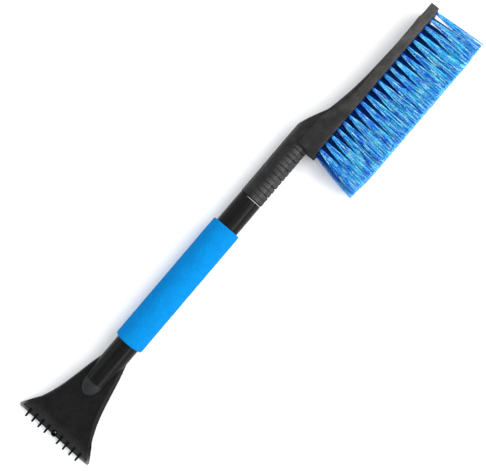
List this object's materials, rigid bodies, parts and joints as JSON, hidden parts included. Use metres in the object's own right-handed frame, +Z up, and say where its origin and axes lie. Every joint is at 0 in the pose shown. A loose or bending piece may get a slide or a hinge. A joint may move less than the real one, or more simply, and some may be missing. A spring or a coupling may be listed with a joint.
{
  "type": "snow broom",
  "caption": "Car snow broom: stiff bristle head on a quarter-turn tube joint, foam-gripped handle, and an ice scraper blade at the other end.",
  "frame": {"origin": "middle of the footprint, on the surface that the broom lies on; the handle's axis is 19.1 mm up", "axes": "+X along the handle from the scraper to the brush head, bristles point to -Y, +Z up"},
  "size_m": [0.6918, 0.1477, 0.0382],
  "materials": {
    "black_tube": "satin extruded plastic tube",
    "black_plastic": "satin moulded plastic",
    "blue_foam": "matt closed-cell foam",
    "smoky_ring": "smoky soft washer",
    "blue_bristle": "glossy nylon filaments",
    "staple_wire": "plain drawn wire",
    "screw_steel": "zinc plated"
  },
  "bodies": {
    "handle": {"handle_tube": "black_tube", "foam_grip": "blue_foam", "scraper_blade": "black_plastic", "scraper_screws": "screw_steel", "joint_spigot": "black_plastic"},
    "seal": {"seal_ring": "smoky_ring"},
    "brush": {"brush_head": "black_plastic", "tuft_row_1": "blue_bristle", "tuft_row_2": "blue_bristle", "tuft_row_3": "blue_bristle", "tuft_row_4": "blue_bristle", "staple_row_1": "staple_wire", "staple_row_2": "staple_wire", "staple_row_3": "staple_wire", "staple_row_4": "staple_wire"}
  },
  "joints": [
    {"name": "head_twist", "type": "hinge", "parent": "handle", "child": "seal", "pos_m": [0.0314, 0.0189, 0.0191], "axis": [-1, 0, 0], "range_deg": [0, 90]},
    {"name": "head_pull", "type": "slide", "parent": "seal", "child": "brush", "axis": [1, 0, 0], "range_m": [0, 0.062]}
  ]
}
